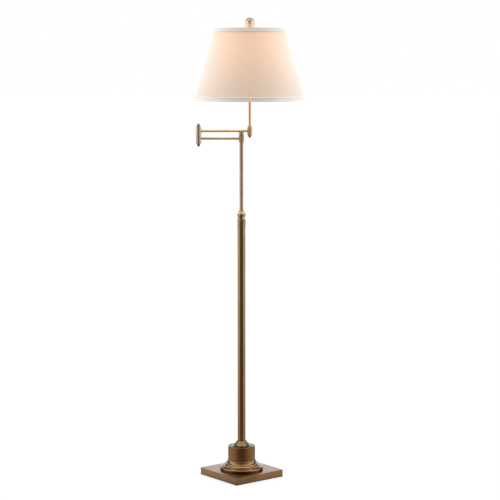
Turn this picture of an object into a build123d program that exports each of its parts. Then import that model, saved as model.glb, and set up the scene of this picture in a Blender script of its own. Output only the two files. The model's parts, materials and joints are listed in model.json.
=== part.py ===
from build123d import *
import math
import os

# Adjustable swing-arm floor lamp. Millimetres and degrees, +Z up.
# Origin: on the pole axis, at the level of the floor. The base plate's sides lie along X and Y.

# ---- driving dimensions: fits and sheet ----
running_fit = 0.06  # radial clearance of a shaft that turns in its bore
sliding_fit = 0.10  # radial clearance of the stem in its guide
free_gap = 0.3  # space between pieces that move past each other
sheet = 1.2  # wall of the spun and pressed pieces

# ---- driving dimensions: base ----
plate_side = 219.6
plate_top = 26.6
plate_foot = 0.4
plate_corner = 2.0
plate_edge = 1.0
pad_side = 212.0
pad_thickness = 2.0
pad_corner = 4.0
weight_side = 214.0
weight_corner = 4.0
pocket_radius = 20.0
pocket_top = 16.5
channel_width = 14.0
channel_top = 14.0
inlet_z = 8.0
inlet_radius = 5.5
inlet_bore = 3.5
inlet_length = 14.0
inlet_lip_radius = 7.5
inlet_lip = 2.5
flange_foot_radius = 78.0
flange_top_radius = 52.2
drum_radius = 50.1
drum_foot = 62.7
drum_top = 114.3
neck_foot = 112.9
neck_top = 136.0
neck_radius = 16.4
neck_foot_radius = 43.0

# ---- driving dimensions: pole ----
tie_rod_radius = 4.85
tie_rod_bore = 3.25
tie_rod_foot = 9.5
tie_rod_top = 147.7
nut_height = 5.0
washer_thickness = 1.5
pole_radius = 14.5
pole_bore = 13.3
pole_foot = 123.7
pole_top = 950.0
plug_height = 18.0
ferrule_radius = 15.2
ferrule_foot = 935.0
ferrule_top = 951.0
spigot_foot = 936.0
collar_ring_radius = 16.1
collar_neck_radius = 14.0
collar_top = 984.0
dome_radius = 13.4
dome_top = 996.2
bush_radius = 8.5

# ---- driving dimensions: clamping screw ----
screw_z = 970.0
screw_bearing = -108.5
screw_radius = 2.5
screw_head_radius = 5.5
screw_head_start = 16.5
screw_head_end = 25.5
flute_count = 16
flute_radius = 0.7

# ---- driving dimensions: height stem and pole swivel ----
stem_radius = 7.0
stem_bore = 5.15
stem_foot = 860.0
stem_top = 1250.0
foot_bush_height = 12.0
spindle_radius = 5.0
spindle_bore = 3.0
spindle_foot = 1238.0
spindle_top = 1284.5
cup_foot = 1245.5
cup_top = 1255.5
swivel_radius = 9.7
swivel_ring_foot = 1273.7
swivel_cap_foot = 1283.2
swivel_cap_top = 1289.2

# ---- driving dimensions: swing arms ----
arm_radius = 4.5
arm_bore = 3.4
arm_inset = 6.2  # how far a tube's end stands from the axis of its barrel
arm_bearing = 141.47
fold_angle = 5.0
lower_arm_reach = 157.0
upper_arm_reach = 188.3
lower_arm_z = 1261.0
upper_arm_z = 1288.0
elbow_radius = 10.0
elbow_foot = 1243.3
elbow_split = 1272.8
elbow_top = 1304.0
elbow_washer_height = 0.8
elbow_spindle_foot = 1240.6
elbow_spindle_top = 1306.0
elbow_bottom_tip = 1232.0
elbow_top_tip = 1316.0
lamp_knuckle_radius = 9.2
lamp_knuckle_foot = 1273.8
lamp_knuckle_top = 1300.0

# ---- driving dimensions: lamp head ----
rod_tip = 1263.2
rod_foot = 1268.0
rod_top = 1424.0
saddle_z = 1418.0
saddle_half_span = 23.25
saddle_sheet = 1.5
saddle_width = 12.0
saddle_wing_top = 1430.0
harp_wire = 1.7
harp_foot = 1434.0
harp_half_width = 58.0
harp_top = 1644.5
stud_radius = 3.0
stud_top = 1658.5
socket_foot = 1420.5
socket_split = 1450.0
socket_top = 1492.0
socket_radius = 18.2
socket_wall = 0.6
socket_body_foot = 1437.0
liner_foot = 1443.0
liner_wall = 0.9
key_z = 1460.0
key_radius = 1.8
key_shaft_start = 10.0
key_knob_start = 26.0
key_knob_end = 37.0
key_knob_radius = 4.6
bulb_tip = 1463.0
bulb_base_top = 1489.0
bulb_top = 1574.0
bulb_radius = 30.0
bulb_neck = 13.0
bulb_wall = 0.9
hub_radius = 13.0
hub_z = 1648.2
hub_thickness = 2.0
finial_radius = 16.2
finial_foot = 1661.0
lamp_top = 1700.0

# ---- driving dimensions: shade ----
shade_foot = 1399.5
shade_top = 1663.0
shade_foot_radius = 203.2
shade_top_radius = 127.1
shade_sheet = 1.2
trim_sheet = 0.7
top_trim_height = 14.5
foot_trim_height = 16.5
ring_wire = 1.6

# ---- driving dimensions: lead ----
lead_radius = 1.8
lead_z = 6.4
lead_bend = 6.0
lead_end = 600.0
lead_inset = 6.5  # how far a lead's cut end stands from the axis of its barrel


def turned_to(reach, bearing, start=(0.0, 0.0)):
    """Plan point at a reach and bearing from a starting point."""
    angle = math.radians(bearing)
    return (start[0] + reach * math.cos(angle), start[1] + reach * math.sin(angle))


upper_bearing = arm_bearing + 180.0 + fold_angle
elbow = turned_to(lower_arm_reach, arm_bearing)
lamp = turned_to(upper_arm_reach, upper_bearing, elbow)
ring_spoke_bearings = (90.0, 210.0, 330.0)

PARTS = {}


def sub_part(make):
    """Build a sub-part and keep it under its function's name."""
    PARTS[make.__name__] = make()
    return make


def lathe(*corners, at=(0.0, 0.0)):
    """Solid turned about a vertical axis from (radius, height, corner rounding) points."""
    outline = FilletPolyline(
        *[(r, z) for r, z, _ in corners],
        radius=[rounding for _, _, rounding in corners],
        close=True,
    )
    return Pos(*at, 0) * revolve(Plane.XZ * make_face(outline), Axis.Z)


def ring(outer, inner, foot, top, edge=0.0, at=(0.0, 0.0)):
    """Plain upright sleeve with rounded outer edges."""
    return lathe(
        (inner, foot, 0), (outer, foot, edge), (outer, top, edge), (inner, top, 0), at=at
    )


def bar(start, end, radius, bore=0.0):
    """Round bar, or a tube where it has a bore, between two points."""
    run = Vector(*end) - Vector(*start)
    section = Circle(radius)
    if bore:
        section -= Circle(bore)
    return extrude(Plane(origin=start, z_dir=run) * section, amount=run.length)


def spoke(inner, outer, bearing, z, radius, bore=0.0, start=(0.0, 0.0)):
    """Level bar or tube that runs outwards from a vertical axis."""
    near = turned_to(inner, bearing, start)
    far = turned_to(outer, bearing, start)
    return bar((*near, z), (*far, z), radius, bore)


def hex_nut(across_flats, bore, foot, height, at=(0.0, 0.0)):
    """Upright hexagon nut."""
    section = RegularPolygon(across_flats / 2, 6, major_radius=False) - Circle(bore)
    return extrude(Pos(*at, foot) * section, amount=height)


def plate(side, corner, foot, top):
    """Square block with rounded upright corners."""
    return extrude(Pos(0, 0, foot) * RectangleRounded(side, side, corner), amount=top - foot)


def shade_radius(z):
    """Outer radius of the shade's cone at a height."""
    share = (z - shade_foot) / (shade_top - shade_foot)
    return shade_foot_radius + share * (shade_top_radius - shade_foot_radius)


def shade_band(foot, top, outset, thickness):
    """Conical band whose outer face stands outset from the shade's outer line."""
    low = shade_radius(foot) + outset
    high = shade_radius(top) + outset
    return lathe(
        (low - thickness, foot, 0),
        (low, foot, 0),
        (high, top, 0),
        (high - thickness, top, 0),
        at=lamp,
    )


def wire_path(*points, radii):
    """Upright path in the lamp's own XZ plane, straight runs joined by tangent arcs."""
    return Pos(*lamp, 0) * (Plane.XZ * FilletPolyline(*points, radius=radii))


# ---- base ----


@sub_part
def base_pad():
    """Soft sheet under the weight, which the lamp stands on."""
    return plate(pad_side, pad_corner, 0, pad_thickness)


@sub_part
def base_shell():
    """Pressed square cover of the base, open below."""
    outer = plate(plate_side, plate_corner, plate_foot, plate_top)
    outer = fillet(outer.faces().sort_by(Axis.Z)[-1].edges(), plate_edge)
    inner = plate(plate_side - 2 * sheet, plate_corner - sheet / 2, plate_foot, plate_top - sheet)
    rod_hole = ring(tie_rod_radius + free_gap, 0, pad_thickness, plate_top + 1)
    inlet_hole = spoke(weight_side / 2, plate_side, 90, inlet_z, inlet_radius)
    return outer - inner - rod_hole - inlet_hole


@sub_part
def base_weight():
    """Cast weight with a pocket for the nut and a channel for the lead."""
    block = plate(weight_side, weight_corner, pad_thickness, plate_top - sheet)
    rod_hole = ring(tie_rod_radius + free_gap, 0, pad_thickness, plate_top)
    pocket = ring(pocket_radius, 0, pad_thickness, pocket_top)
    channel = extrude(
        Pos(0, weight_side / 4, pad_thickness) * Rectangle(channel_width, weight_side / 2),
        amount=channel_top - pad_thickness,
    )
    return block - rod_hole - pocket - channel


@sub_part
def cord_inlet_bushing():
    """Flanged plastic bushing in the back of the base, where the supply cord goes in."""
    body = spoke(plate_side / 2 + inlet_lip - inlet_length, plate_side / 2, 90, inlet_z, inlet_radius)
    lip = spoke(plate_side / 2, plate_side / 2 + inlet_lip, 90, inlet_z, inlet_lip_radius)
    lip = fillet(lip.edges().sort_by(Axis.Y)[-1], inlet_lip / 3)
    hole = spoke(weight_side / 3, plate_side, 90, inlet_z, inlet_bore)
    return body + lip - hole


@sub_part
def tie_rod():
    """Hollow threaded rod that clamps the base and the pole together."""
    return ring(tie_rod_radius, tie_rod_bore, tie_rod_foot, tie_rod_top)


@sub_part
def tie_rod_washer():
    return ring(pocket_radius - 4, tie_rod_radius, pocket_top - washer_thickness, pocket_top)


@sub_part
def tie_rod_nut():
    nut_top = pocket_top - washer_thickness
    return hex_nut(17, tie_rod_radius, nut_top - nut_height, nut_height)


@sub_part
def base_flange():
    """Cast and turned flange: foot ring, quarter round, ogee and cove up to the drum."""
    return lathe(
        (flange_foot_radius, plate_top, 0),
        (flange_foot_radius, 29.1, 0.8),
        (80.7, 30.1, 1.2),
        (80.7, 36.3, 3.6),
        (71.0, 40.5, 0.8),
        (71.0, 42.7, 0.9),
        (64.2, 44.1, 4.5),
        (61.2, 48.1, 0.8),
        (61.2, 50.3, 0.8),
        (55.2, 51.7, 6.0),
        (flange_top_radius, 59.3, 0.7),
        (flange_top_radius, drum_foot, 0.9),
        (46.0, drum_foot, 0),
        (46.0, 49.7, 3.0),
        (56.0, 37.7, 3.0),
        (72.0, 32.7, 2.0),
        (72.0, plate_top, 0),
    )


@sub_part
def base_drum():
    """Spun drum with a raised rim round its sunk top."""
    return lathe(
        (drum_radius - sheet, drum_foot, 0),
        (drum_radius, drum_foot, 0),
        (drum_radius, drum_top, 1.6),
        (drum_radius - 3.2, drum_top, 1.0),
        (drum_radius - 4.8, neck_foot, 1.0),
        (tie_rod_radius + free_gap, neck_foot, 0),
        (tie_rod_radius + free_gap, neck_foot - sheet, 0),
        (drum_radius - sheet, neck_foot - sheet, 0),
    )


@sub_part
def pole_neck():
    """Turned neck that flares out of the pole onto the drum."""
    return lathe(
        (tie_rod_radius, neck_foot, 0),
        (neck_foot_radius, neck_foot, 0.3),
        (neck_foot_radius, 113.9, 0.4),
        (41.6, 114.1, 1.0),
        (28.6, 118.4, 9.0),
        (neck_radius, 134.4, 3.0),
        (neck_radius, neck_top, 0.6),
        (pole_radius, neck_top, 0),
        (pole_radius, pole_foot, 0),
        (tie_rod_radius, pole_foot, 0),
    )


# ---- pole and lock ----


@sub_part
def main_pole():
    """Lower tube of the pole."""
    return ring(pole_radius, pole_bore, pole_foot, pole_top)


@sub_part
def pole_plug():
    """Plug brazed into the foot of the pole, which the tie rod screws into."""
    return ring(pole_bore, tie_rod_radius, pole_foot, pole_foot + plug_height)


@sub_part
def pole_ferrule():
    """Ring round the top of the lower tube."""
    return ring(ferrule_radius, pole_radius, ferrule_foot, ferrule_top, edge=0.4)


def screw_hole():
    """Cutter for the clamping screw's radial hole."""
    return spoke(0, 2 * pole_radius, screw_bearing, screw_z, screw_radius + sliding_fit)


@sub_part
def lock_collar():
    """Turned collar with two rings and a neck, screwed into the top of the lower tube."""
    body = lathe(
        (bush_radius, spigot_foot, 0),
        (pole_bore, spigot_foot, 0.5),
        (pole_bore, pole_top, 0),
        (14.2, pole_top, 0),
        (14.2, 953.6, 0.6),
        (collar_ring_radius, 954.6, 1.0),
        (collar_ring_radius, 960.2, 2.2),
        (collar_neck_radius, 961.4, 0.8),
        (collar_neck_radius, 978.4, 0.8),
        (collar_ring_radius, 979.4, 1.2),
        (collar_ring_radius, 983.0, 1.4),
        (14.6, collar_top, 0.3),
        (bush_radius, collar_top, 0),
    )
    return body - screw_hole()


@sub_part
def guide_bush():
    """Plastic bush in the collar that the stem slides through."""
    return ring(bush_radius, stem_radius + sliding_fit, spigot_foot, collar_top) - screw_hole()


@sub_part
def collar_dome():
    """Domed cap that closes the collar round the stem."""
    bore = stem_radius + free_gap
    section = make_face(
        [
            Line((bore, collar_top), (dome_radius, collar_top)),
            ThreePointArc((dome_radius, collar_top), (11.6, 991.2), (bore, dome_top)),
            Line((bore, dome_top), (bore, collar_top)),
        ]
    )
    return revolve(Plane.XZ * section, Axis.Z)


@sub_part
def lock_thumbscrew():
    """Fluted screw that clamps the stem at its height."""
    shank = spoke(stem_radius + 2 * sliding_fit + 0.2, screw_head_start, 0, 0, screw_radius)
    washer = spoke(collar_neck_radius + free_gap, screw_head_start, 0, 0, 3.6)
    head = spoke(screw_head_start, screw_head_end, 0, 0, screw_head_radius)
    head = fillet(head.edges().sort_by(Axis.X)[-1], 2.2)
    head = fillet(head.edges().filter_by(GeomType.CIRCLE).sort_by(Axis.X)[0], 0.8)
    for turn in range(flute_count):
        y, z = turned_to(screw_head_radius + flute_radius / 3, 360 * turn / flute_count)
        head -= bar((screw_head_start - 1, y, z), (screw_head_end + 1, y, z), flute_radius)
    return Pos(0, 0, screw_z) * Rot(0, 0, screw_bearing) * (shank + washer + head)


# ---- height stem and pole swivel ----


@sub_part
def stem():
    """Upper tube of the pole, which slides in the lower one."""
    return ring(stem_radius, stem_bore, stem_foot, stem_top)


@sub_part
def stem_foot_bush():
    """Bush on the stem's foot that steadies it in the pole and stops it coming out."""
    return ring(pole_bore - free_gap, stem_radius, stem_foot, stem_foot + foot_bush_height, edge=0.8)


@sub_part
def swivel_cup():
    """Conical seat on top of the stem."""
    return lathe(
        (stem_radius, cup_foot, 0),
        (7.7, cup_foot, 0.3),
        (swivel_radius, 1253.8, 1.5),
        (swivel_radius, cup_top, 0.4),
        (spindle_radius, cup_top, 0),
        (spindle_radius, stem_top, 0),
        (stem_radius, stem_top, 0),
    )


@sub_part
def swivel_spindle():
    """Hollow spindle that the lower arm turns on."""
    return ring(spindle_radius, spindle_bore, spindle_foot, spindle_top)


@sub_part
def swivel_ring():
    """Grooved bead over the pole knuckle."""
    return lathe(
        (spindle_radius, swivel_ring_foot, 0),
        (9.1, swivel_ring_foot, 0.4),
        (9.1, 1276.2, 0.5),
        (7.7, 1277.0, 0.4),
        (7.7, 1278.4, 0.4),
        (9.8, 1279.0, 0.8),
        (9.8, 1282.6, 1.2),
        (8.0, swivel_cap_foot, 0.3),
        (spindle_radius, swivel_cap_foot, 0),
    )


@sub_part
def swivel_cap():
    """Domed cap on the spindle."""
    return lathe(
        (0, spindle_top, 0),
        (spindle_radius, spindle_top, 0),
        (spindle_radius, swivel_cap_foot, 0),
        (8.2, swivel_cap_foot, 0),
        (8.2, swivel_cap_top, 5.8),
        (0, swivel_cap_top, 0),
    )


# ---- lower arm ----


@sub_part
def pole_knuckle():
    """Barrel that turns on the pole's spindle."""
    barrel = ring(
        swivel_radius,
        spindle_radius + running_fit,
        cup_top + free_gap,
        swivel_ring_foot - free_gap,
        edge=0.6,
    )
    return barrel - spoke(0, 2 * swivel_radius, arm_bearing, lower_arm_z, arm_radius)


@sub_part
def lower_arm_tube():
    """Tube from the pole knuckle to the elbow."""
    far = lower_arm_reach - arm_inset
    return spoke(arm_inset, far, arm_bearing, lower_arm_z, arm_radius, arm_bore)


@sub_part
def lower_elbow_knuckle():
    """Lower barrel of the elbow."""
    barrel = ring(elbow_radius, spindle_radius, elbow_foot, elbow_split, edge=0.8, at=elbow)
    return barrel - spoke(
        0, 2 * elbow_radius, arm_bearing + 180, lower_arm_z, arm_radius, start=elbow
    )


@sub_part
def elbow_washer():
    """Friction washer between the two barrels of the elbow."""
    return ring(9.3, spindle_radius, elbow_split, elbow_split + elbow_washer_height, at=elbow)


@sub_part
def elbow_spindle():
    """Hollow spindle through both barrels, with windows for the lead."""
    tube = ring(spindle_radius, spindle_bore, elbow_spindle_foot, elbow_spindle_top, at=elbow)
    window = lead_radius + 0.7
    reach = spindle_radius + 1
    lower_window = spoke(0, reach, arm_bearing + 180, lower_arm_z, window, start=elbow)
    upper_window = spoke(-reach, reach, upper_bearing, upper_arm_z, window, start=elbow)
    return tube - lower_window - upper_window


@sub_part
def elbow_bottom_cap():
    """Pointed nut under the elbow."""
    return lathe(
        (0, elbow_spindle_foot, 0),
        (spindle_radius, elbow_spindle_foot, 0),
        (spindle_radius, elbow_foot, 0),
        (8.4, elbow_foot, 0.3),
        (8.4, 1241.6, 0.8),
        (6.0, 1240.4, 0.8),
        (5.2, 1235.8, 3.0),
        (3.2, elbow_bottom_tip, 2.2),
        (0, elbow_bottom_tip, 0),
        at=elbow,
    )


@sub_part
def elbow_top_cap():
    """Bullet-shaped nut over the elbow."""
    shoulder = elbow_top + free_gap
    return lathe(
        (0, elbow_spindle_top, 0),
        (spindle_radius, elbow_spindle_top, 0),
        (spindle_radius, shoulder, 0),
        (9.0, shoulder, 0.3),
        (9.0, 1305.6, 0.6),
        (6.6, 1307.2, 0.8),
        (5.2, 1308.2, 0.6),
        (5.2, 1312.6, 3.0),
        (3.0, elbow_top_tip, 2.4),
        (0, elbow_top_tip, 0),
        at=elbow,
    )


# ---- upper arm ----


@sub_part
def upper_elbow_knuckle():
    """Upper barrel of the elbow, which turns on the spindle."""
    foot = elbow_split + elbow_washer_height + free_gap
    barrel = ring(elbow_radius, spindle_radius + running_fit, foot, elbow_top, edge=0.8, at=elbow)
    return barrel - spoke(0, 2 * elbow_radius, upper_bearing, upper_arm_z, arm_radius, start=elbow)


@sub_part
def upper_arm_tube():
    """Tube from the elbow to the lamp knuckle."""
    far = upper_arm_reach - arm_inset
    return spoke(arm_inset, far, upper_bearing, upper_arm_z, arm_radius, arm_bore, start=elbow)


@sub_part
def lamp_knuckle():
    """Barrel at the end of the upper arm that the lamp rod turns in."""
    barrel = lathe(
        (arm_radius + running_fit, lamp_knuckle_foot, 0),
        (lamp_knuckle_radius, lamp_knuckle_foot, 1.6),
        (lamp_knuckle_radius, lamp_knuckle_top, 0.6),
        (arm_radius + running_fit, lamp_knuckle_top, 0),
        at=lamp,
    )
    return barrel - spoke(
        0, 2 * elbow_radius, upper_bearing + 180, upper_arm_z, arm_radius, start=lamp
    )


# ---- lamp rod and harp ----


@sub_part
def lamp_rod():
    """Upright tube that carries the lampholder and the shade."""
    return ring(arm_radius, arm_bore, rod_foot, rod_top, at=lamp)


@sub_part
def rod_collar():
    """Tapered collar on the rod that rests on the lamp knuckle."""
    foot = lamp_knuckle_top + free_gap
    return lathe(
        (arm_radius, foot, 0),
        (8.5, foot, 0.3),
        (8.5, 1302.0, 1.5),
        (5.4, 1307.2, 0.5),
        (arm_radius, 1307.2, 0),
        at=lamp,
    )


@sub_part
def rod_end_cap():
    """Pointed nut that holds the rod in the lamp knuckle."""
    shoulder = lamp_knuckle_foot - free_gap
    return lathe(
        (0, rod_foot, 0),
        (arm_radius, rod_foot, 0),
        (arm_radius, shoulder, 0),
        (6.9, shoulder, 0.3),
        (6.9, 1271.4, 1.2),
        (4.8, 1266.0, 2.5),
        (2.2, rod_tip, 1.4),
        (0, rod_tip, 0),
        at=lamp,
    )


@sub_part
def saddle_nut():
    return hex_nut(14, arm_radius, saddle_z - nut_height, nut_height, at=lamp)


@sub_part
def harp_saddle():
    """Bent strip under the lampholder, with a post at each end for the harp."""
    half = saddle_half_span + saddle_sheet / 2
    strip = make_face(
        FilletPolyline(
            (-half, saddle_wing_top),
            (-half, saddle_z),
            (half, saddle_z),
            (half, saddle_wing_top),
            (half - saddle_sheet, saddle_wing_top),
            (half - saddle_sheet, saddle_z + saddle_sheet),
            (saddle_sheet - half, saddle_z + saddle_sheet),
            (saddle_sheet - half, saddle_wing_top),
            radius=[0, 3.0, 3.0, 0, 0, 1.5, 1.5, 0],
            close=True,
        )
    )
    body = Pos(*lamp, 0) * extrude(Plane.XZ * strip, amount=saddle_width / 2, both=True)
    for side in (-1, 1):
        post_at = (lamp[0] + side * saddle_half_span, lamp[1])
        body += ring(harp_wire, 0, saddle_wing_top - 1, harp_foot, at=post_at)
    return body - ring(arm_radius, 0, saddle_z - 1, saddle_z + 2 * saddle_sheet, at=lamp)


@sub_part
def harp_sleeves():
    """Pair of sleeves that slide down over the joints of harp and saddle."""
    sleeves = [
        ring(
            3.2,
            harp_wire,
            saddle_wing_top,
            harp_foot + 10,
            edge=0.5,
            at=(lamp[0] + side * saddle_half_span, lamp[1]),
        )
        for side in (-1, 1)
    ]
    return Compound(children=sleeves)


@sub_part
def harp():
    """Wire loop round the bulb, with a pad and a threaded stud on top."""
    side = [
        (saddle_half_span, harp_foot),
        (saddle_half_span, harp_foot + 18),
        (harp_half_width, 1498.0),
        (harp_half_width, 1590.0),
        (20.0, harp_top),
    ]
    bends = [18.0, 30.0, 40.0, 14.0]
    path = wire_path(
        *side, *[(-x, z) for x, z in reversed(side)], radii=bends + bends[::-1]
    )
    wire = sweep(Plane(origin=path @ 0, z_dir=path % 0) * Circle(harp_wire), path=path)
    pad = ring(7.0, 0, harp_top, hub_z, at=lamp)
    stud = ring(stud_radius, 0, harp_top, stud_top, at=lamp)
    return wire + pad + stud


# ---- lampholder and bulb ----


def key_hole():
    """Cutter for the switch shaft's hole."""
    return spoke(0, 2 * socket_radius, -90, key_z, key_radius + sliding_fit, start=lamp)


@sub_part
def socket_cap():
    """Domed lower half of the lampholder's case."""
    return lathe(
        (arm_radius, socket_foot, 0),
        (7.5, socket_foot, 0.5),
        (7.5, 1425.0, 1.5),
        (16.5, 1430.0, 6.0),
        (19.0, 1440.0, 4.0),
        (19.0, socket_split, 0.4),
        (socket_radius, socket_split, 0),
        (socket_radius, 1440.5, 4.0),
        (15.5, 1431.5, 5.0),
        (6.5, 1427.0, 0.5),
        (arm_radius, 1427.0, 0),
        at=lamp,
    )


@sub_part
def socket_shell():
    """Upper half of the lampholder's case, with a beaded rim."""
    shell = lathe(
        (socket_radius - socket_wall, liner_foot, 0),
        (socket_radius, liner_foot, 0),
        (socket_radius, socket_top - 3.0, 0.5),
        (socket_radius + 1.0, socket_top - 2.0, 0.6),
        (socket_radius + 1.0, socket_top, 0.6),
        (socket_radius - socket_wall, socket_top, 0),
        at=lamp,
    )
    return shell - key_hole()


@sub_part
def socket_liner():
    """Insulating sleeve inside the lampholder's case."""
    outer = socket_radius - socket_wall
    return ring(outer, outer - liner_wall, liner_foot, socket_top + 1.5, at=lamp) - key_hole()


@sub_part
def socket_body():
    """Moulded block with the switch and the centre contact."""
    outer = socket_radius - socket_wall - liner_wall - free_gap
    return ring(outer, 0, socket_body_foot, bulb_tip, edge=0.8, at=lamp) - key_hole()


@sub_part
def socket_screw_shell():
    """Threaded metal shell that the bulb screws into."""
    return ring(14.2, 13.6, bulb_tip, socket_top - 4, at=lamp)


@sub_part
def switch_key():
    """Turn knob of the lampholder's switch, on its shaft."""
    shaft = spoke(key_shaft_start, key_knob_start + 1, -90, key_z, key_radius, start=lamp)
    knob = spoke(key_knob_start, key_knob_end, -90, key_z, key_knob_radius, start=lamp)
    knob = fillet(knob.edges().sort_by(Axis.Y)[0], 1.2)
    for turn in range(flute_count // 2):
        x, z = turned_to(key_knob_radius + flute_radius / 2, 720 * turn / flute_count, (lamp[0], key_z))
        near = (x, lamp[1] - key_knob_start + 1, z)
        far = (x, lamp[1] - key_knob_end - 1, z)
        knob -= bar(near, far, flute_radius)
    return shaft + knob


@sub_part
def bulb_base():
    """Screw cap of the bulb, with rounded threads and a centre contact."""
    pitch = 3.6
    foot = bulb_tip + 4.5
    tip = bulb_tip + free_gap
    body = ring(12.7, 0, foot, bulb_base_top, at=lamp)
    for turn in range(4):
        body += Pos(*lamp, bulb_base_top - 5 - pitch * turn) * Torus(12.2, 1.1)
    contact = lathe((0, tip, 0), (4.0, tip, 1.0), (8.5, foot, 0), (0, foot, 0), at=lamp)
    return body + contact


@sub_part
def bulb_glass():
    """Hollow pear-shaped bulb, open at the neck where it sits in its cap."""
    shoulder = bulb_neck + 0.6
    wide_z = bulb_top - bulb_radius

    def pear(inset):
        """Half outline of the bulb, inset from its outer face."""
        return [
            Line((bulb_neck - inset, bulb_base_top), (shoulder - inset, bulb_base_top + 5)),
            Spline(
                (shoulder - inset, bulb_base_top + 5),
                (22.5 - inset, 1516.0),
                (bulb_radius - inset, wide_z),
                tangents=[(0.12, 1), (0, 1)],
            ),
            RadiusArc((bulb_radius - inset, wide_z), (0, bulb_top - inset), -(bulb_radius - inset)),
        ]

    section = make_face(
        pear(0)
        + pear(bulb_wall)
        + [
            Line((0, bulb_top - bulb_wall), (0, bulb_top)),
            Line((bulb_neck - bulb_wall, bulb_base_top), (bulb_neck, bulb_base_top)),
        ]
    )
    return Pos(*lamp, 0) * revolve(Plane.XZ * section, Axis.Z)


# ---- shade ----


@sub_part
def shade_cover():
    """Tapered drum of stiffened fabric."""
    return shade_band(shade_foot, shade_top, -trim_sheet, shade_sheet)


@sub_part
def shade_top_trim():
    """Fabric band round the top of the shade."""
    return shade_band(shade_top - top_trim_height, shade_top, 0, trim_sheet)


@sub_part
def shade_bottom_trim():
    """Fabric band round the bottom of the shade."""
    return shade_band(shade_foot, shade_foot + foot_trim_height, 0, trim_sheet)


def wire_hoop(z):
    """Wire ring just inside the cover at a height."""
    hoop_radius = shade_radius(z) - trim_sheet - shade_sheet - ring_wire - free_gap / 2
    return Pos(*lamp, z) * Torus(hoop_radius - 0.3, ring_wire)


@sub_part
def shade_spider():
    """Top wire ring with three spokes down to a washer on the harp."""
    ring_z = shade_top - 3
    hoop = wire_hoop(ring_z)
    hub_top = hub_z + hub_thickness
    hub = ring(hub_radius, stud_radius + sliding_fit, hub_z, hub_top, edge=0.5, at=lamp)
    reach = shade_radius(ring_z) - 4.2
    for bearing in ring_spoke_bearings:
        near = turned_to(hub_radius - 2, bearing, lamp)
        far = turned_to(reach, bearing, lamp)
        hoop += bar((*near, hub_z + hub_thickness / 2), (*far, ring_z), ring_wire)
    return hoop + hub


@sub_part
def shade_bottom_ring():
    return wire_hoop(shade_foot + 2.5)


@sub_part
def finial_neck():
    """Threaded neck that clamps the shade's washer on the harp's stud."""
    foot = hub_z + hub_thickness
    return lathe(
        (stud_radius, foot, 0),
        (6.5, foot, 0.4),
        (6.5, foot + 2.2, 0.8),
        (4.4, foot + 4.0, 1.0),
        (4.4, finial_foot - 2.4, 1.2),
        (6.6, finial_foot, 0),
        (0, finial_foot, 0),
        (0, stud_top, 0),
        (stud_radius, stud_top, 0),
        at=lamp,
    )


@sub_part
def finial():
    """Polished bullet-shaped finial with a round top."""
    return lathe(
        (0, finial_foot, 0),
        (12.6, finial_foot, 2.0),
        (finial_radius - 1.2, 1666.5, 3.0),
        (finial_radius, 1677.0, 12.0),
        (finial_radius, lamp_top, finial_radius - 0.4),
        (0, lamp_top, 0),
        at=lamp,
    )


# ---- lead, which is one cable in the real lamp and is cut here at each joint ----


@sub_part
def supply_lead():
    """Lead from the inlet, under the tie rod and up the pole."""
    start_y = plate_side / 2 - sheet
    path = Plane.YZ * FilletPolyline((start_y, lead_z), (0, lead_z), (0, lead_end), radius=[lead_bend])
    return sweep(Plane(origin=path @ 0, z_dir=path % 0) * Circle(lead_radius), path=path)


@sub_part
def stem_lead():
    return ring(lead_radius, 0, stem_foot + 2, spindle_top - 0.5)


@sub_part
def lower_arm_lead():
    return spoke(lead_inset, lower_arm_reach - 1, arm_bearing, lower_arm_z, lead_radius)


@sub_part
def upper_arm_lead():
    far = upper_arm_reach - lead_inset
    return spoke(lead_inset, far, upper_bearing, upper_arm_z, lead_radius, start=elbow)


@sub_part
def rod_lead():
    return ring(lead_radius, 0, rod_foot + 1, socket_body_foot, at=lamp)


os.makedirs("parts", exist_ok=True)
for name, solid in PARTS.items():
    export_step(solid, os.path.join("parts", name + ".step"))
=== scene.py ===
import json
import math

import bmesh
import bpy
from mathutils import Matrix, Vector


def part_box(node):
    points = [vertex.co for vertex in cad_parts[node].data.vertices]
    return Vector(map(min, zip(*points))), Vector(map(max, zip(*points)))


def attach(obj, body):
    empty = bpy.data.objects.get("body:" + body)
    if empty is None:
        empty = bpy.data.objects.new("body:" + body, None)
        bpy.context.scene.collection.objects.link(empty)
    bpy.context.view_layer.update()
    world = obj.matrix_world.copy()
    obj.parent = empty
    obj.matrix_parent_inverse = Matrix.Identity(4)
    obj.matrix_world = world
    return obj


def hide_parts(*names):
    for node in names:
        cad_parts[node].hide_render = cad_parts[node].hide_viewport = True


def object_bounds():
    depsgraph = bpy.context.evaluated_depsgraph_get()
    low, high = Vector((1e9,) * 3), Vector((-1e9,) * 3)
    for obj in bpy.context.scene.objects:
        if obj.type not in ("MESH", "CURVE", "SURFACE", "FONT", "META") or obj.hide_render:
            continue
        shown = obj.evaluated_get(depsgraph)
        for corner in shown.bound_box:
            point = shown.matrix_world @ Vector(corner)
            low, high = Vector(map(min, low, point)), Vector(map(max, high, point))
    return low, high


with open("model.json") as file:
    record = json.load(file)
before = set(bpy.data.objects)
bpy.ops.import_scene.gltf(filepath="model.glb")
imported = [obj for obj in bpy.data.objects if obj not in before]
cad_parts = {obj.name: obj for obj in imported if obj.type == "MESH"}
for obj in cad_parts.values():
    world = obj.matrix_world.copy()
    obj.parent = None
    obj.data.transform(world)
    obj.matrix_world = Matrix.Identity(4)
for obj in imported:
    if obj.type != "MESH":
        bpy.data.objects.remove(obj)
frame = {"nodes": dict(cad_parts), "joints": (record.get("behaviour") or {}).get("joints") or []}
cad_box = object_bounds()
nodes = frame["nodes"]
joints = {joint["name"]: joint for joint in frame["joints"]}

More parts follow.
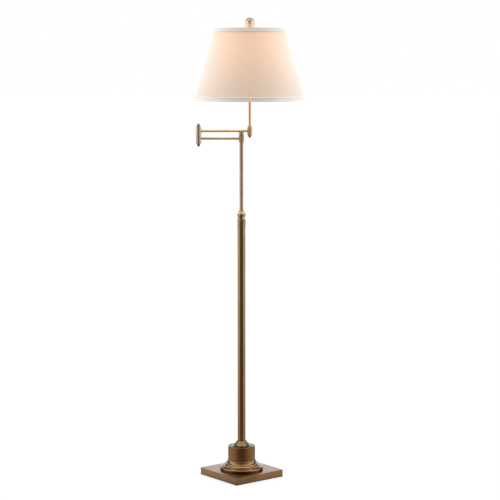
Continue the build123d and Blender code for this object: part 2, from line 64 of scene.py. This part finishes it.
# ---- places read from the frame ----
lamp_x, lamp_y, _ = joints["lamp_swivel"]["pos_m"]
foot_low, foot_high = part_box("shade_bottom_trim")
rim_low, rim_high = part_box("shade_top_trim")
shade_foot, shade_top = foot_low[2], rim_high[2]
foot_radius = (foot_high[0] - foot_low[0]) / 2
band_foot_radius = (rim_high[0] - rim_low[0]) / 2  # at the foot of the top band
shade_slope = (band_foot_radius - foot_radius) / (rim_low[2] - shade_foot)

# ---- camera and studio ----
camera_azimuth = math.radians(-38.53)
camera_distance = 6.147
camera_height = 1.572
camera_side = 0.0314
camera_pitch = 0.11685
camera_lens = 120.8
camera_reach = 200.0
overhead_power = 0.9
overhead_spread = math.radians(80)
wall_power = 1.75
soft_power = 2.25
flag_softness = 0.16  # metres from the lamp within which the floor stays pale
# Tones of the walls by how far they face the viewer: -1 is behind the lamp, 1 is behind the viewer.
# Polished surfaces mirror the first set, and the second is what lights matt ones.
wall_tones = (
    (-1.0, (0.74, 0.74, 0.74)),
    (-0.88, (0.74, 0.74, 0.74)),
    (-0.78, (0.15, 0.15, 0.15)),
    (-0.50, (0.15, 0.15, 0.15)),
    (-0.30, (1.0, 1.0, 1.0)),
    (0.24, (1.0, 1.0, 1.0)),
    (0.50, (0.66, 0.65, 0.64)),
    (0.72, (0.26, 0.25, 0.24)),
    (0.88, (0.12, 0.10, 0.09)),
    (1.0, (0.10, 0.085, 0.075)),
)
soft_tones = (
    (-1.0, (0.53, 0.56, 0.59)),
    (-0.40, (0.53, 0.56, 0.59)),
    (-0.25, (0.83, 0.90, 0.97)),
    (0.26, (0.83, 0.90, 0.97)),
    (0.50, (0.38, 0.37, 0.36)),
    (0.72, (0.09, 0.08, 0.07)),
    (1.0, (0.02, 0.015, 0.01)),
)


def box_heights(name):
    """Foot and top of a CAD node's box."""
    low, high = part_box(name)
    return low[2], high[2]


def facing(azimuth):
    """Level unit vector from the lamp towards a viewer at an azimuth, and the one to that viewer's right."""
    towards = Vector((math.sin(azimuth), -math.cos(azimuth), 0.0))
    right = Vector((math.cos(azimuth), math.sin(azimuth), 0.0))
    return towards, right


def make_camera():
    towards, right = facing(camera_azimuth)
    data = bpy.data.cameras.new("camera")
    data.lens = camera_lens
    data.clip_end = camera_reach
    camera = bpy.data.objects.new("camera", data)
    bpy.context.scene.collection.objects.link(camera)
    camera.location = towards * camera_distance + right * camera_side + Vector((0, 0, camera_height))
    camera.rotation_euler = (math.pi / 2 - camera_pitch, 0.0, camera_azimuth)
    bpy.context.scene.camera = camera


make_camera()
bpy.context.scene.view_settings.view_transform = "Standard"


def sky_light():
    """Broad overhead softbox, so far off that the whole floor gets the same light."""
    data = bpy.data.lights.new("overhead", "SUN")
    data.energy = overhead_power
    data.angle = overhead_spread
    light = bpy.data.objects.new("overhead", data)
    bpy.context.scene.collection.objects.link(light)


def wall_ramp(tree, direction, tones):
    """Ramp of wall tones over how far a direction, from a socket, faces the viewer."""
    towards, _ = facing(camera_azimuth)
    dot = tree.nodes.new("ShaderNodeVectorMath")
    dot.operation = "DOT_PRODUCT"
    dot.inputs[1].default_value = towards
    share = tree.nodes.new("ShaderNodeMapRange")
    share.inputs["From Min"].default_value = -1.0
    ramp = tree.nodes.new("ShaderNodeValToRGB")
    elements = ramp.color_ramp.elements
    while len(elements) < len(tones):
        elements.new(0.5)
    for element, (facing_share, tone) in zip(elements, tones):
        element.position = (facing_share + 1) / 2
        element.color = (*tone, 1.0)
    tree.links.new(direction, dot.inputs[0])
    tree.links.new(dot.outputs["Value"], share.inputs["Value"])
    tree.links.new(share.outputs["Result"], ramp.inputs["Fac"])
    return ramp


def make_world():
    """White backdrop for the camera.

    For the lamp, white walls at the sides and a dark room behind the viewer."""
    world = bpy.data.worlds.new("studio")
    bpy.context.scene.world = world
    world.use_nodes = True
    tree = world.node_tree
    tree.nodes.clear()
    out = tree.nodes.new("ShaderNodeOutputWorld")
    coords = tree.nodes.new("ShaderNodeTexCoord")
    path = tree.nodes.new("ShaderNodeLightPath")

    def background(power, tones):
        """Background of a power, with wall tones or plain white."""
        node = tree.nodes.new("ShaderNodeBackground")
        node.inputs["Color"].default_value = (1, 1, 1, 1)
        node.inputs["Strength"].default_value = power
        if tones:
            ramp = wall_ramp(tree, coords.outputs["Generated"], tones)
            tree.links.new(ramp.outputs["Color"], node.inputs["Color"])
        return node

    def choose(ray, otherwise, chosen):
        """Mix that gives one kind of ray its own background."""
        node = tree.nodes.new("ShaderNodeMixShader")
        tree.links.new(path.outputs[ray], node.inputs["Fac"])
        tree.links.new(otherwise.outputs[0], node.inputs[1])
        tree.links.new(chosen.outputs[0], node.inputs[2])
        return node

    lit = choose("Is Diffuse Ray", background(wall_power, wall_tones), background(soft_power, soft_tones))
    whole = choose("Is Camera Ray", lit, background(1.0, ()))
    tree.links.new(whole.outputs[0], out.inputs["Surface"])


make_world()
sky_light()

# ---- node helpers ----


class Shader:
    """One procedural material: a Principled shader and short calls that add nodes to it."""

    def __init__(self, name):
        self.material = bpy.data.materials.new(name)
        self.material.use_nodes = True
        self.tree = self.material.node_tree
        self.tree.nodes.clear()
        self.out = self.add("OutputMaterial")
        self.surface = self.add("BsdfPrincipled")
        self.link(self.surface, "BSDF", self.out, "Surface")

    def add(self, kind, **settings):
        node = self.tree.nodes.new("ShaderNode" + kind)
        for key, value in settings.items():
            setattr(node, key, value)
        return node

    def link(self, source, output, target, name):
        self.tree.links.new(source.outputs[output], target.inputs[name])

    def set(self, **values):
        """Set uniform values on the Principled shader's own sockets."""
        for key, value in values.items():
            self.surface.inputs[key.replace("_", " ")].default_value = value

    def coords(self, stretch=(1.0, 1.0, 1.0)):
        """Object coordinates, stretched along the axes."""
        place = self.add("TexCoord")
        mapping = self.add("Mapping")
        mapping.inputs["Scale"].default_value = stretch
        self.link(place, "Object", mapping, "Vector")
        return mapping

    def noise(self, scale, detail=4.0, stretch=(1.0, 1.0, 1.0), roughness=0.55):
        texture = self.add("TexNoise")
        texture.inputs["Scale"].default_value = scale
        texture.inputs["Detail"].default_value = detail
        texture.inputs["Roughness"].default_value = roughness
        self.link(self.coords(stretch), "Vector", texture, "Vector")
        return texture

    def ramp(self, source, output, *stops):
        """Colour ramp over a value, from (position, colour) stops."""
        node = self.add("ValToRGB")
        elements = node.color_ramp.elements
        while len(elements) < len(stops):
            elements.new(0.5)
        for element, (position, colour) in zip(elements, stops):
            element.position = position
            element.color = (*colour, 1.0)
        self.link(source, output, node, "Fac")
        return node

    def mix(self, factor, first, second, blend="MIX"):
        """Colour mix of two (node, output) pairs; factor is a pair or a number."""
        node = self.add("Mix", data_type="RGBA", blend_type=blend)
        if isinstance(factor, tuple):
            self.tree.links.new(factor[0].outputs[factor[1]], node.inputs[0])
        else:
            node.inputs[0].default_value = factor
        for socket, pair in ((node.inputs[6], first), (node.inputs[7], second)):
            if isinstance(pair[0], bpy.types.Node):
                self.tree.links.new(pair[0].outputs[pair[1]], socket)
            else:
                socket.default_value = (*pair, 1.0)
        return node, 2

    def spread(self, source, output, low, high):
        """Map a 0 to 1 value to a range."""
        node = self.add("MapRange")
        node.inputs["To Min"].default_value = low
        node.inputs["To Max"].default_value = high
        self.link(source, output, node, "Value")
        return node

    def wave(self, source, output, count):
        """Sine of count times a value."""
        turns = self.add("Math", operation="MULTIPLY")
        turns.inputs[1].default_value = count
        self.link(source, output, turns, 0)
        sine = self.add("Math", operation="SINE")
        self.link(turns, "Value", sine, 0)
        return sine

    def bump(self, source, output, strength, distance, under=None):
        node = self.add("Bump")
        node.inputs["Strength"].default_value = strength
        node.inputs["Distance"].default_value = distance
        self.link(source, output, node, "Height")
        if under:
            self.link(under, "Normal", node, "Normal")
        return node


drawn = (900.0, 900.0, 12.0)  # fine lines along an upright tube
turned = (14.0, 14.0, 2600.0)  # fine lines round a turned piece
cloud_scale = 16.0
speck_scale = 420.0
cloud_relief = 0.0006
line_relief = 0.00006


def brass(
    name,
    light,
    dark,
    roughness=(0.16, 0.30),
    lines=turned,
    line_depth=0.12,
    by_height=(),
    heights=(0.0, 1.0),
    coat=0.0,
    crease_reach=0.006,
):
    """Lacquered old brass: cloudy patina, painted shade in creases, faint tool lines and small specks.

    by_height gives (share, tint) stops where the colour is painted lighter or darker between two heights in
    metres, as painted light and shade.
    crease_reach is how near another surface darkens this one with painted shade, in metres."""
    s = Shader(name)
    s.set(Metallic=1.0, Coat_Weight=coat, Coat_Roughness=0.12)
    clouds = s.noise(cloud_scale, 6.0)
    specks = s.noise(speck_scale, 2.0)
    tooling = s.noise(1.0, 3.0, lines)
    patina = s.ramp(clouds, "Fac", (0.34, dark), (0.62, light))
    speck_mask = s.ramp(specks, "Fac", (0.27, (0.45, 0.40, 0.36)), (0.36, (1.0, 1.0, 1.0)))
    body = s.mix(1.0, (patina, "Color"), (speck_mask, "Color"), "MULTIPLY")
    # Painted light and shade: the colour is made lighter or darker between two heights.
    if by_height:
        place = s.add("TexCoord")
        height = s.add("SeparateXYZ")
        s.link(place, "Object", height, "Vector")
        share = s.add("MapRange")
        share.inputs["From Min"].default_value = heights[0]
        share.inputs["From Max"].default_value = heights[1]
        s.link(height, "Z", share, "Value")
        tint = s.ramp(share, "Result", *by_height)
        body = s.mix(1.0, body, (tint, "Color"), "MULTIPLY")
    # Painted shade: the colour is darkened where other surfaces are near, in creases and corners.
    creases = s.add("AmbientOcclusion", samples=6)
    creases.inputs["Distance"].default_value = crease_reach
    crease_painted_shade = s.ramp(creases, "AO", (0.25, (0.42, 0.34, 0.28)), (0.85, (1.0, 1.0, 1.0)))
    colour, colour_out = s.mix(1.0, body, (crease_painted_shade, "Color"), "MULTIPLY")
    s.tree.links.new(colour.outputs[colour_out], s.surface.inputs["Base Color"])
    rough = s.spread(clouds, "Fac", roughness[1], roughness[0])
    s.link(rough, "Result", s.surface, "Roughness")
    low = s.bump(tooling, "Fac", line_depth, line_relief)
    high = s.bump(clouds, "Fac", 0.05, cloud_relief, low)
    s.link(high, "Normal", s.surface, "Normal")
    return s.material


def plated_steel(name):
    """Zinc plate with a mottled grain."""
    s = Shader(name)
    s.set(Metallic=1.0)
    grain = s.noise(700.0, 3.0)
    tone = s.ramp(grain, "Fac", (0.3, (0.42, 0.42, 0.40)), (0.7, (0.62, 0.62, 0.60)))
    s.link(tone, "Color", s.surface, "Base Color")
    s.link(s.spread(grain, "Fac", 0.28, 0.45), "Result", s.surface, "Roughness")
    s.link(s.bump(grain, "Fac", 0.2, 0.0001), "Normal", s.surface, "Normal")
    return s.material


def cast_iron(name):
    """Rough cast surface under thin black paint."""
    s = Shader(name)
    grain = s.noise(260.0, 8.0)
    tone = s.ramp(grain, "Fac", (0.35, (0.018, 0.018, 0.019)), (0.7, (0.06, 0.055, 0.05)))
    s.link(tone, "Color", s.surface, "Base Color")
    s.link(s.spread(grain, "Fac", 0.5, 0.8), "Result", s.surface, "Roughness")
    s.link(s.bump(grain, "Fac", 0.8, 0.0008), "Normal", s.surface, "Normal")
    return s.material


def moulded(name, light, dark, roughness=(0.35, 0.55), grain_scale=900.0):
    """Moulded plastic with a fine spark-eroded grain."""
    s = Shader(name)
    grain = s.noise(grain_scale, 3.0)
    tone = s.ramp(grain, "Fac", (0.35, dark), (0.65, light))
    s.link(tone, "Color", s.surface, "Base Color")
    s.link(s.spread(grain, "Fac", *roughness), "Result", s.surface, "Roughness")
    s.link(s.bump(grain, "Fac", 0.25, 0.0001), "Normal", s.surface, "Normal")
    return s.material


def enamelled_wire(name):
    """Cream enamel with brush ripples and small chips."""
    s = Shader(name)
    ripple = s.noise(180.0, 4.0)
    chips = s.noise(90.0, 2.0)
    tone = s.ramp(chips, "Fac", (0.24, (0.35, 0.30, 0.22)), (0.28, (0.78, 0.75, 0.68)))
    s.link(tone, "Color", s.surface, "Base Color")
    s.link(s.spread(ripple, "Fac", 0.25, 0.4), "Result", s.surface, "Roughness")
    s.link(s.bump(ripple, "Fac", 0.25, 0.0003), "Normal", s.surface, "Normal")
    return s.material


def felt(name):
    """Dense dark felt with a fibrous nap."""
    s = Shader(name)
    s.set(Sheen_Weight=0.4, Sheen_Roughness=0.6)
    fibre = s.noise(1400.0, 6.0, (1.0, 1.0, 3.0), 0.7)
    tone = s.ramp(fibre, "Fac", (0.3, (0.012, 0.012, 0.012)), (0.7, (0.05, 0.048, 0.045)))
    s.link(tone, "Color", s.surface, "Base Color")
    s.link(s.spread(fibre, "Fac", 0.8, 0.95), "Result", s.surface, "Roughness")
    s.link(s.bump(fibre, "Fac", 0.7, 0.0006), "Normal", s.surface, "Normal")
    return s.material


thread_pitch = 0.0009
light_through = 0.2  # share of the shade's cloth that lets light through


def weave(s, slub_scale):
    """Plain weave round the lamp axis: warp up the shade, weft round it, with uneven threads."""
    place = s.add("TexCoord")
    centred = s.add("Mapping")
    centred.inputs["Location"].default_value = (-lamp_x, -lamp_y, 0.0)
    s.link(place, "Object", centred, "Vector")
    axes = s.add("SeparateXYZ")
    s.link(centred, "Vector", axes, "Vector")
    bearing = s.add("Math", operation="ARCTAN2")
    s.link(axes, "Y", bearing, 0)
    s.link(axes, "X", bearing, 1)
    warp = s.wave(bearing, "Value", round(2 * math.pi * foot_radius / thread_pitch))
    weft = s.wave(axes, "Z", 2 * math.pi / thread_pitch)
    over = s.add("Math", operation="MAXIMUM")
    s.link(warp, "Value", over, 0)
    s.link(weft, "Value", over, 1)
    slub = s.noise(slub_scale, 3.0, (1.0, 1.0, 0.12))
    return over, slub


def linen(name):
    """Off-white shade fabric on a stiff backing, lit through by the bulb."""
    s = Shader(name)
    s.set(Sheen_Weight=1.0, Sheen_Roughness=0.6, Roughness=0.85, Specular_IOR_Level=0.25)
    over, slub = weave(s, 260.0)
    tone = s.ramp(slub, "Fac", (0.3, (0.72, 0.638, 0.535)), (0.7, (0.77, 0.688, 0.585)))
    s.link(tone, "Color", s.surface, "Base Color")
    first = s.bump(over, "Value", 0.22, 0.0002)
    second = s.bump(slub, "Fac", 0.16, 0.0003, first)
    s.link(second, "Normal", s.surface, "Normal")
    through = s.add("BsdfTranslucent")
    glow = s.ramp(slub, "Fac", (0.3, (0.78, 0.52, 0.32)), (0.7, (0.86, 0.60, 0.40)))
    s.link(glow, "Color", through, "Color")
    s.link(second, "Normal", through, "Normal")
    both = s.add("MixShader")
    both.inputs[0].default_value = light_through
    s.tree.links.new(s.surface.outputs["BSDF"], both.inputs[1])
    s.tree.links.new(through.outputs["BSDF"], both.inputs[2])
    s.tree.links.new(both.outputs["Shader"], s.out.inputs["Surface"])
    return s.material


def trim_cloth(name, light, dark):
    """Folded self-fabric trim: the same weave, doubled and opaque."""
    s = Shader(name)
    s.set(Sheen_Weight=1.0, Sheen_Roughness=0.6, Roughness=0.8, Specular_IOR_Level=0.25)
    over, slub = weave(s, 320.0)
    tone = s.ramp(slub, "Fac", (0.3, dark), (0.7, light))
    s.link(tone, "Color", s.surface, "Base Color")
    first = s.bump(over, "Value", 0.3, 0.0002)
    s.link(s.bump(slub, "Fac", 0.2, 0.0003, first), "Normal", s.surface, "Normal")
    return s.material


def frosted_bulb(name):
    """Inside-frosted lit glass with an even glow of mottled warm colour."""
    s = Shader(name)
    s.set(Roughness=0.35, Emission_Strength=5.0)
    frost = s.noise(220.0, 3.0)
    tone = s.ramp(frost, "Fac", (0.3, (0.86, 0.84, 0.80)), (0.7, (0.95, 0.94, 0.92)))
    glow = s.ramp(frost, "Fac", (0.3, (1.0, 0.72, 0.42)), (0.7, (1.0, 0.80, 0.52)))
    s.link(tone, "Color", s.surface, "Base Color")
    s.link(glow, "Color", s.surface, "Emission Color")
    s.link(s.bump(frost, "Fac", 0.05, 0.0001), "Normal", s.surface, "Normal")
    return s.material


# painted shade: the pole's foot is the darkest
pole_painted_shade = (
    (0.03, (0.55, 0.42, 0.27)),
    (0.13, (0.58, 0.44, 0.29)),
    (0.35, (0.74, 0.63, 0.45)),
    (0.72, (0.97, 0.97, 0.92)),
    (0.98, (0.98, 1.0, 1.0)),
)
# painted reflection and light: a foot tinted less red to offset the bulb's warm light, and a darkened tip
finial_painted_reflection = (
    (0.15, (0.94, 0.94, 0.86)),
    (0.5, (0.98, 0.92, 0.88)),
    (0.66, (0.84, 0.77, 0.75)),
    (0.78, (0.50, 0.46, 0.47)),
    (0.88, (0.30, 0.28, 0.30)),
)
# painted shading across the upper arm tube: its top darker and deeper gold than its underside
tube_painted_shading = ((0.35, (1.0, 1.0, 1.0)), (0.75, (0.68, 0.66, 0.50)))
# painted shade: the collar dome darkened towards its top
dome_painted_shade = ((0.45, (1.0, 1.0, 1.0)), (0.85, (0.5, 0.46, 0.40)))
# painted light and shade: the base plate's sides are darker than its top
plate_painted_light = ((0.93, (0.88, 0.80, 0.56)), (0.99, (1.0, 1.0, 0.94)))

slot_materials = {
    "pole_brass": brass(
        "pole_brass_look", (0.30, 0.195, 0.105), (0.265, 0.165, 0.085), by_height=pole_painted_shade
    ),
    "arm_brass": brass("arm_brass_look", (0.58, 0.42, 0.25), (0.50, 0.36, 0.20), (0.28, 0.40), drawn),
    "cap_brass": brass("cap_brass_look", (0.26, 0.215, 0.17), (0.19, 0.15, 0.11)),
    "polished_brass": brass("polished_brass_look", (0.62, 0.47, 0.29), (0.54, 0.38, 0.21), (0.06, 0.12)),
    "inner_brass": brass("inner_brass_look", (0.55, 0.40, 0.20), (0.45, 0.31, 0.15), (0.25, 0.40)),
    "plated_steel": plated_steel("plated_steel_look"),
    "shade_wire": enamelled_wire("shade_wire_look"),
    "cast_weight": cast_iron("cast_weight_look"),
    "pad": felt("pad_look"),
    "black_plastic": moulded("black_plastic_look", (0.035, 0.034, 0.033), (0.018, 0.018, 0.018)),
    "liner": moulded("liner_look", (0.30, 0.22, 0.13), (0.20, 0.14, 0.08), (0.7, 0.9), 300.0),
    "lead_sheath": moulded("lead_sheath_look", (0.42, 0.34, 0.20), (0.32, 0.25, 0.14), (0.4, 0.55), 500.0),
    "shade_fabric": linen("shade_fabric_look"),
    "trim_fabric": trim_cloth("trim_fabric_look", (0.95, 0.84, 0.74), (0.88, 0.77, 0.665)),
    "bulb_glass": frosted_bulb("bulb_glass_look"),
}
for node in nodes.values():
    slot_name = node.data.materials[0].name.split(".")[0]
    for place in node.material_slots:
        place.material = slot_materials[slot_name]

# Nodes whose brass differs from the rest of their slot, after their looks: lit and shaded copies of one
# brass, partly the parts' own finish, partly painted light and shade.
own_looks = (
    # Painted light: the rod's brass is painted orange, as if lit by the bulb's warm light.
    (brass("rod_painted_light_look", (0.80, 0.44, 0.21), (0.66, 0.34, 0.15), (0.34, 0.46), drawn), "lamp_rod"),
    (brass("stem_brass_look", (0.44, 0.33, 0.25), (0.38, 0.28, 0.21), (0.46, 0.56), drawn), "stem"),
    (
        brass("lower_tube_look", (0.61, 0.49, 0.355), (0.56, 0.45, 0.32), (0.42, 0.50), drawn, 0.02),
        "lower_arm_tube",
    ),
    # Painted highlight: the upper arm tube is a much lighter copy of the lower arm tube's brass.
    (
        brass(
            "upper_tube_painted_light_look",
            (0.90, 0.77, 0.58),
            (0.84, 0.71, 0.53),
            (0.42, 0.50),
            drawn,
            0.02,
            by_height=tube_painted_shading,
            heights=box_heights("upper_arm_tube"),
        ),
        "upper_arm_tube",
    ),
    (
        brass("knuckle_brass_look", (0.66, 0.45, 0.27), (0.58, 0.385, 0.22), (0.54, 0.62)),
        "lamp_knuckle",
        "rod_collar",
    ),
    (
        brass("elbow_brass_look", (0.60, 0.49, 0.37), (0.52, 0.42, 0.31), (0.28, 0.40)),
        "lower_elbow_knuckle",
        "upper_elbow_knuckle",
    ),
    (
        brass("swivel_brass_look", (0.46, 0.325, 0.205), (0.40, 0.275, 0.17), (0.50, 0.58)),
        "pole_knuckle",
        "swivel_cup",
    ),
    # Painted highlight: the collar dome's brass is made lighter and more orange than the collar below it.
    (
        brass(
            "dome_painted_light_look",
            (0.80, 0.56, 0.29),
            (0.72, 0.50, 0.25),
            (0.52, 0.60),
            by_height=dome_painted_shade,
            heights=box_heights("collar_dome"),
        ),
        "collar_dome",
    ),
    (
        brass("collar_brass_look", (0.30, 0.205, 0.12), (0.26, 0.17, 0.095), (0.22, 0.32)),
        "lock_collar",
        "pole_ferrule",
    ),
    # Painted highlight: the thumbscrew's brass is made pale.
    (brass("screw_painted_highlight_look", (0.78, 0.66, 0.56), (0.70, 0.58, 0.48), (0.16, 0.26)), "lock_thumbscrew"),
    (
        brass(
            "plate_brass_look",
            (0.175, 0.092, 0.034),
            (0.145, 0.074, 0.026),
            (0.24, 0.34),
            by_height=plate_painted_light,
            heights=box_heights("base_shell"),
            coat=0.3,
        ),
        "base_shell",
    ),
    (brass("drum_brass_look", (0.135, 0.062, 0.02), (0.115, 0.052, 0.016), (0.16, 0.26)), "base_drum"),
    (
        brass(
            "neck_brass_look",
            (0.16, 0.11, 0.053),
            (0.135, 0.092, 0.043),
            (0.10, 0.18),
            crease_reach=0.0015,
        ),
        "pole_neck",
    ),
    (brass("flange_brass_look", (0.26, 0.155, 0.075), (0.22, 0.125, 0.055), (0.10, 0.18)), "base_flange"),
    (
        brass(
            "finial_brass_look",
            (0.78, 0.68, 0.55),
            (0.70, 0.60, 0.47),
            (0.34, 0.42),
            by_height=finial_painted_reflection,
            heights=(shade_top, cad_box[1][2]),
        ),
        "finial",
    ),
)
for look, *names in own_looks:
    for name in names:
        nodes[name].material_slots[0].material = look


# ---- the shade ----


def add_piece(name, mesh, body, slot_name, *replaced):
    piece = bpy.data.objects.new(name, mesh)
    bpy.context.scene.collection.objects.link(piece)
    mesh.materials.append(slot_materials[slot_name])
    for face in mesh.polygons:
        face.use_smooth = True
    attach(piece, body)
    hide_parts(*replaced)
    return piece


def shade_line(height):
    """Radius of the shade's outer line at a height."""
    return foot_radius + shade_slope * (height - shade_foot)


def wobble(bearing, height):
    """Slight waviness that hand-rolled fabric has between its two rings."""
    share = (height - shade_foot) / (shade_top - shade_foot)
    bow = 4 * share * (1 - share)
    return bow * (0.00035 * math.sin(3 * bearing + 0.7) + 0.00022 * math.sin(8 * bearing + 2.1) - 0.0006)


def turned_mesh(name, outline, closed, lap=0.0):
    """Mesh of an outline of (outset from the shade line, height) points carried round the lamp axis.

    With a lap, in radians, the strip runs on past its own start and tucks under it."""
    bm = bmesh.new()
    step = 2 * math.pi / shade_sides
    steps = shade_sides + round(lap / step)
    rings = []
    for index in range(steps + 1 if lap else steps):
        bearing = seam_bearing + index * step
        tuck = lap_tuck * min(1.0, max(0.0, index - shade_sides + 2) / 2)
        ring = []
        for outset, height in outline:
            radius = shade_line(height) + outset + wobble(bearing, height) - tuck
            spot = (lamp_x + radius * math.cos(bearing), lamp_y + radius * math.sin(bearing), height)
            ring.append(bm.verts.new(spot))
        rings.append(ring)
    pairs = list(zip(rings, rings[1:] + ([] if lap else rings[:1])))
    for here, there in pairs:
        for row in range(len(here) if closed else len(here) - 1):
            above = (row + 1) % len(here)
            bm.faces.new((here[row], there[row], there[above], here[above]))
    bmesh.ops.recalc_face_normals(bm, faces=bm.faces)
    mesh = bpy.data.meshes.new(name)
    bm.to_mesh(mesh)
    bm.free()
    return mesh


def make_cover():
    """One layer of cloth round the rings, with its glued lap at the back."""
    low, high = shade_foot + cloth_clear, shade_top - cloth_clear
    rows = [low + (high - low) * row / cover_rows for row in range(cover_rows + 1)]
    mesh = turned_mesh("shade_cloth", [(-cloth_inset, height) for height in rows], False, lap_angle)
    return add_piece("shade_cloth", mesh, "lamp_head", "shade_fabric", "shade_cover")


def trim_outline(band, bead, rim, up):
    """Closed outline of a folded strip: flat leg, rolled edge, and a short leg inside the rim."""
    leg = 0.0007
    points = [(-0.0006, 0.00005), (-0.00015, 0.00035), (0.0, 0.0010), (0.0, band - 2.2 * bead)]
    for turn in range(9):
        angle = math.radians(-70 + 25 * turn)
        points.append((bead * (math.cos(angle) - 0.25), band - bead + bead * math.sin(angle)))
    points += [(-leg, band - bead), (-leg, 0.0011), (-0.0009, 0.00075), (-0.0017, 0.00075)]
    points += [(-0.00195, 0.0011), (-0.00195, 0.009), (-0.0023, 0.009), (-0.0023, 0.0009)]
    points += [(-0.0020, 0.00025), (-0.0013, 0.0)]
    return [(outset, rim + up * rise) for outset, rise in points]


def make_trim(name, replaced, band, bead, rim, up):
    mesh = turned_mesh(name, trim_outline(band, bead, rim, up), True)
    return add_piece(name, mesh, "lamp_head", "trim_fabric", replaced)


shade_sides = 288
cover_rows = 14
cloth_inset = 0.0013  # from the shade's outer line to the middle of the cover
cloth_clear = 0.0009  # from the rim's fold to the cloth's edge
lap_angle = math.radians(2.5)
lap_tuck = 0.0004
seam_bearing = camera_azimuth + math.radians(88)  # at the back

cover = make_cover()
top_band = make_trim("top_trim", "shade_top_trim", rim_high[2] - rim_low[2], 0.0011, shade_top, -1)
# Painted shade: the top band is a darker copy of the same trim cloth.
top_band_shaded_look = trim_cloth("top_trim_painted_shade_look", (0.78, 0.68, 0.595), (0.72, 0.62, 0.53))
top_band.data.materials[0] = top_band_shaded_look
foot_band = make_trim("bottom_trim", "shade_bottom_trim", foot_high[2] - foot_low[2], 0.0016, shade_foot, 1)

# ---- floor ----
floor_radius = 60.0
floor_sides = 96
floor_glow = 0.77


def make_floor():
    """Pale floor lit from below, so the lamp hardly shades it.

    What the lamp itself sees of it is dark on the viewer's side, as under a black flag."""
    s = Shader("floor_look")
    s.set(Roughness=0.9, Specular_IOR_Level=0.0, Emission_Strength=floor_glow)
    mottle = s.noise(3.0, 3.0)
    tone = s.ramp(mottle, "Fac", (0.3, (0.162, 0.155, 0.151)), (0.7, (0.17, 0.163, 0.159)))
    place = s.add("TexCoord")
    reach = s.add("VectorMath", operation="LENGTH")
    s.link(place, "Object", reach, "Vector")
    softened = s.add("Math", operation="ADD")
    softened.inputs[1].default_value = flag_softness
    s.link(reach, "Value", softened, 0)
    shrink = s.add("Math", operation="DIVIDE")
    shrink.inputs[0].default_value = 1.0
    s.link(softened, "Value", shrink, 1)
    bearing = s.add("VectorMath", operation="SCALE")
    s.link(place, "Object", bearing, "Vector")
    s.link(shrink, "Value", bearing, "Scale")
    flag = wall_ramp(s.tree, bearing.outputs["Vector"], wall_tones)
    path = s.add("LightPath")
    seen, seen_out = s.mix((path, "Is Camera Ray"), (flag, "Color"), (tone, "Color"))
    s.tree.links.new(seen.outputs[seen_out], s.surface.inputs["Base Color"])
    lit, lit_out = s.mix((path, "Is Camera Ray"), (0.0, 0.0, 0.0), (1.0, 1.0, 1.0))
    s.tree.links.new(lit.outputs[lit_out], s.surface.inputs["Emission Color"])
    bm = bmesh.new()
    bmesh.ops.create_circle(bm, cap_ends=True, radius=floor_radius, segments=floor_sides)
    mesh = bpy.data.meshes.new("floor")
    bm.to_mesh(mesh)
    bm.free()
    mesh.materials.append(s.material)
    floor = bpy.data.objects.new("floor", mesh)
    bpy.context.scene.collection.objects.link(floor)
    floor.location.z = cad_box[0][2]


make_floor()

# ---- the lit bulb ----
glow_rise = 0.010  # from the top of the glass to the light's centre
bulb_top = box_heights("bulb_glass")[1]
glow_data = bpy.data.lights.new("bulb_light", "POINT")
glow_data.energy = 0.68
glow_data.color = (1.0, 0.42, 0.10)
glow_data.shadow_soft_size = 0.02
glow = bpy.data.objects.new("bulb_light", glow_data)
bpy.context.scene.collection.objects.link(glow)
glow.location = (lamp_x, lamp_y, bulb_top + glow_rise)
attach(glow, "lamp_head")
nodes["bulb_glass"].visible_shadow = False

bpy.context.view_layer.update()
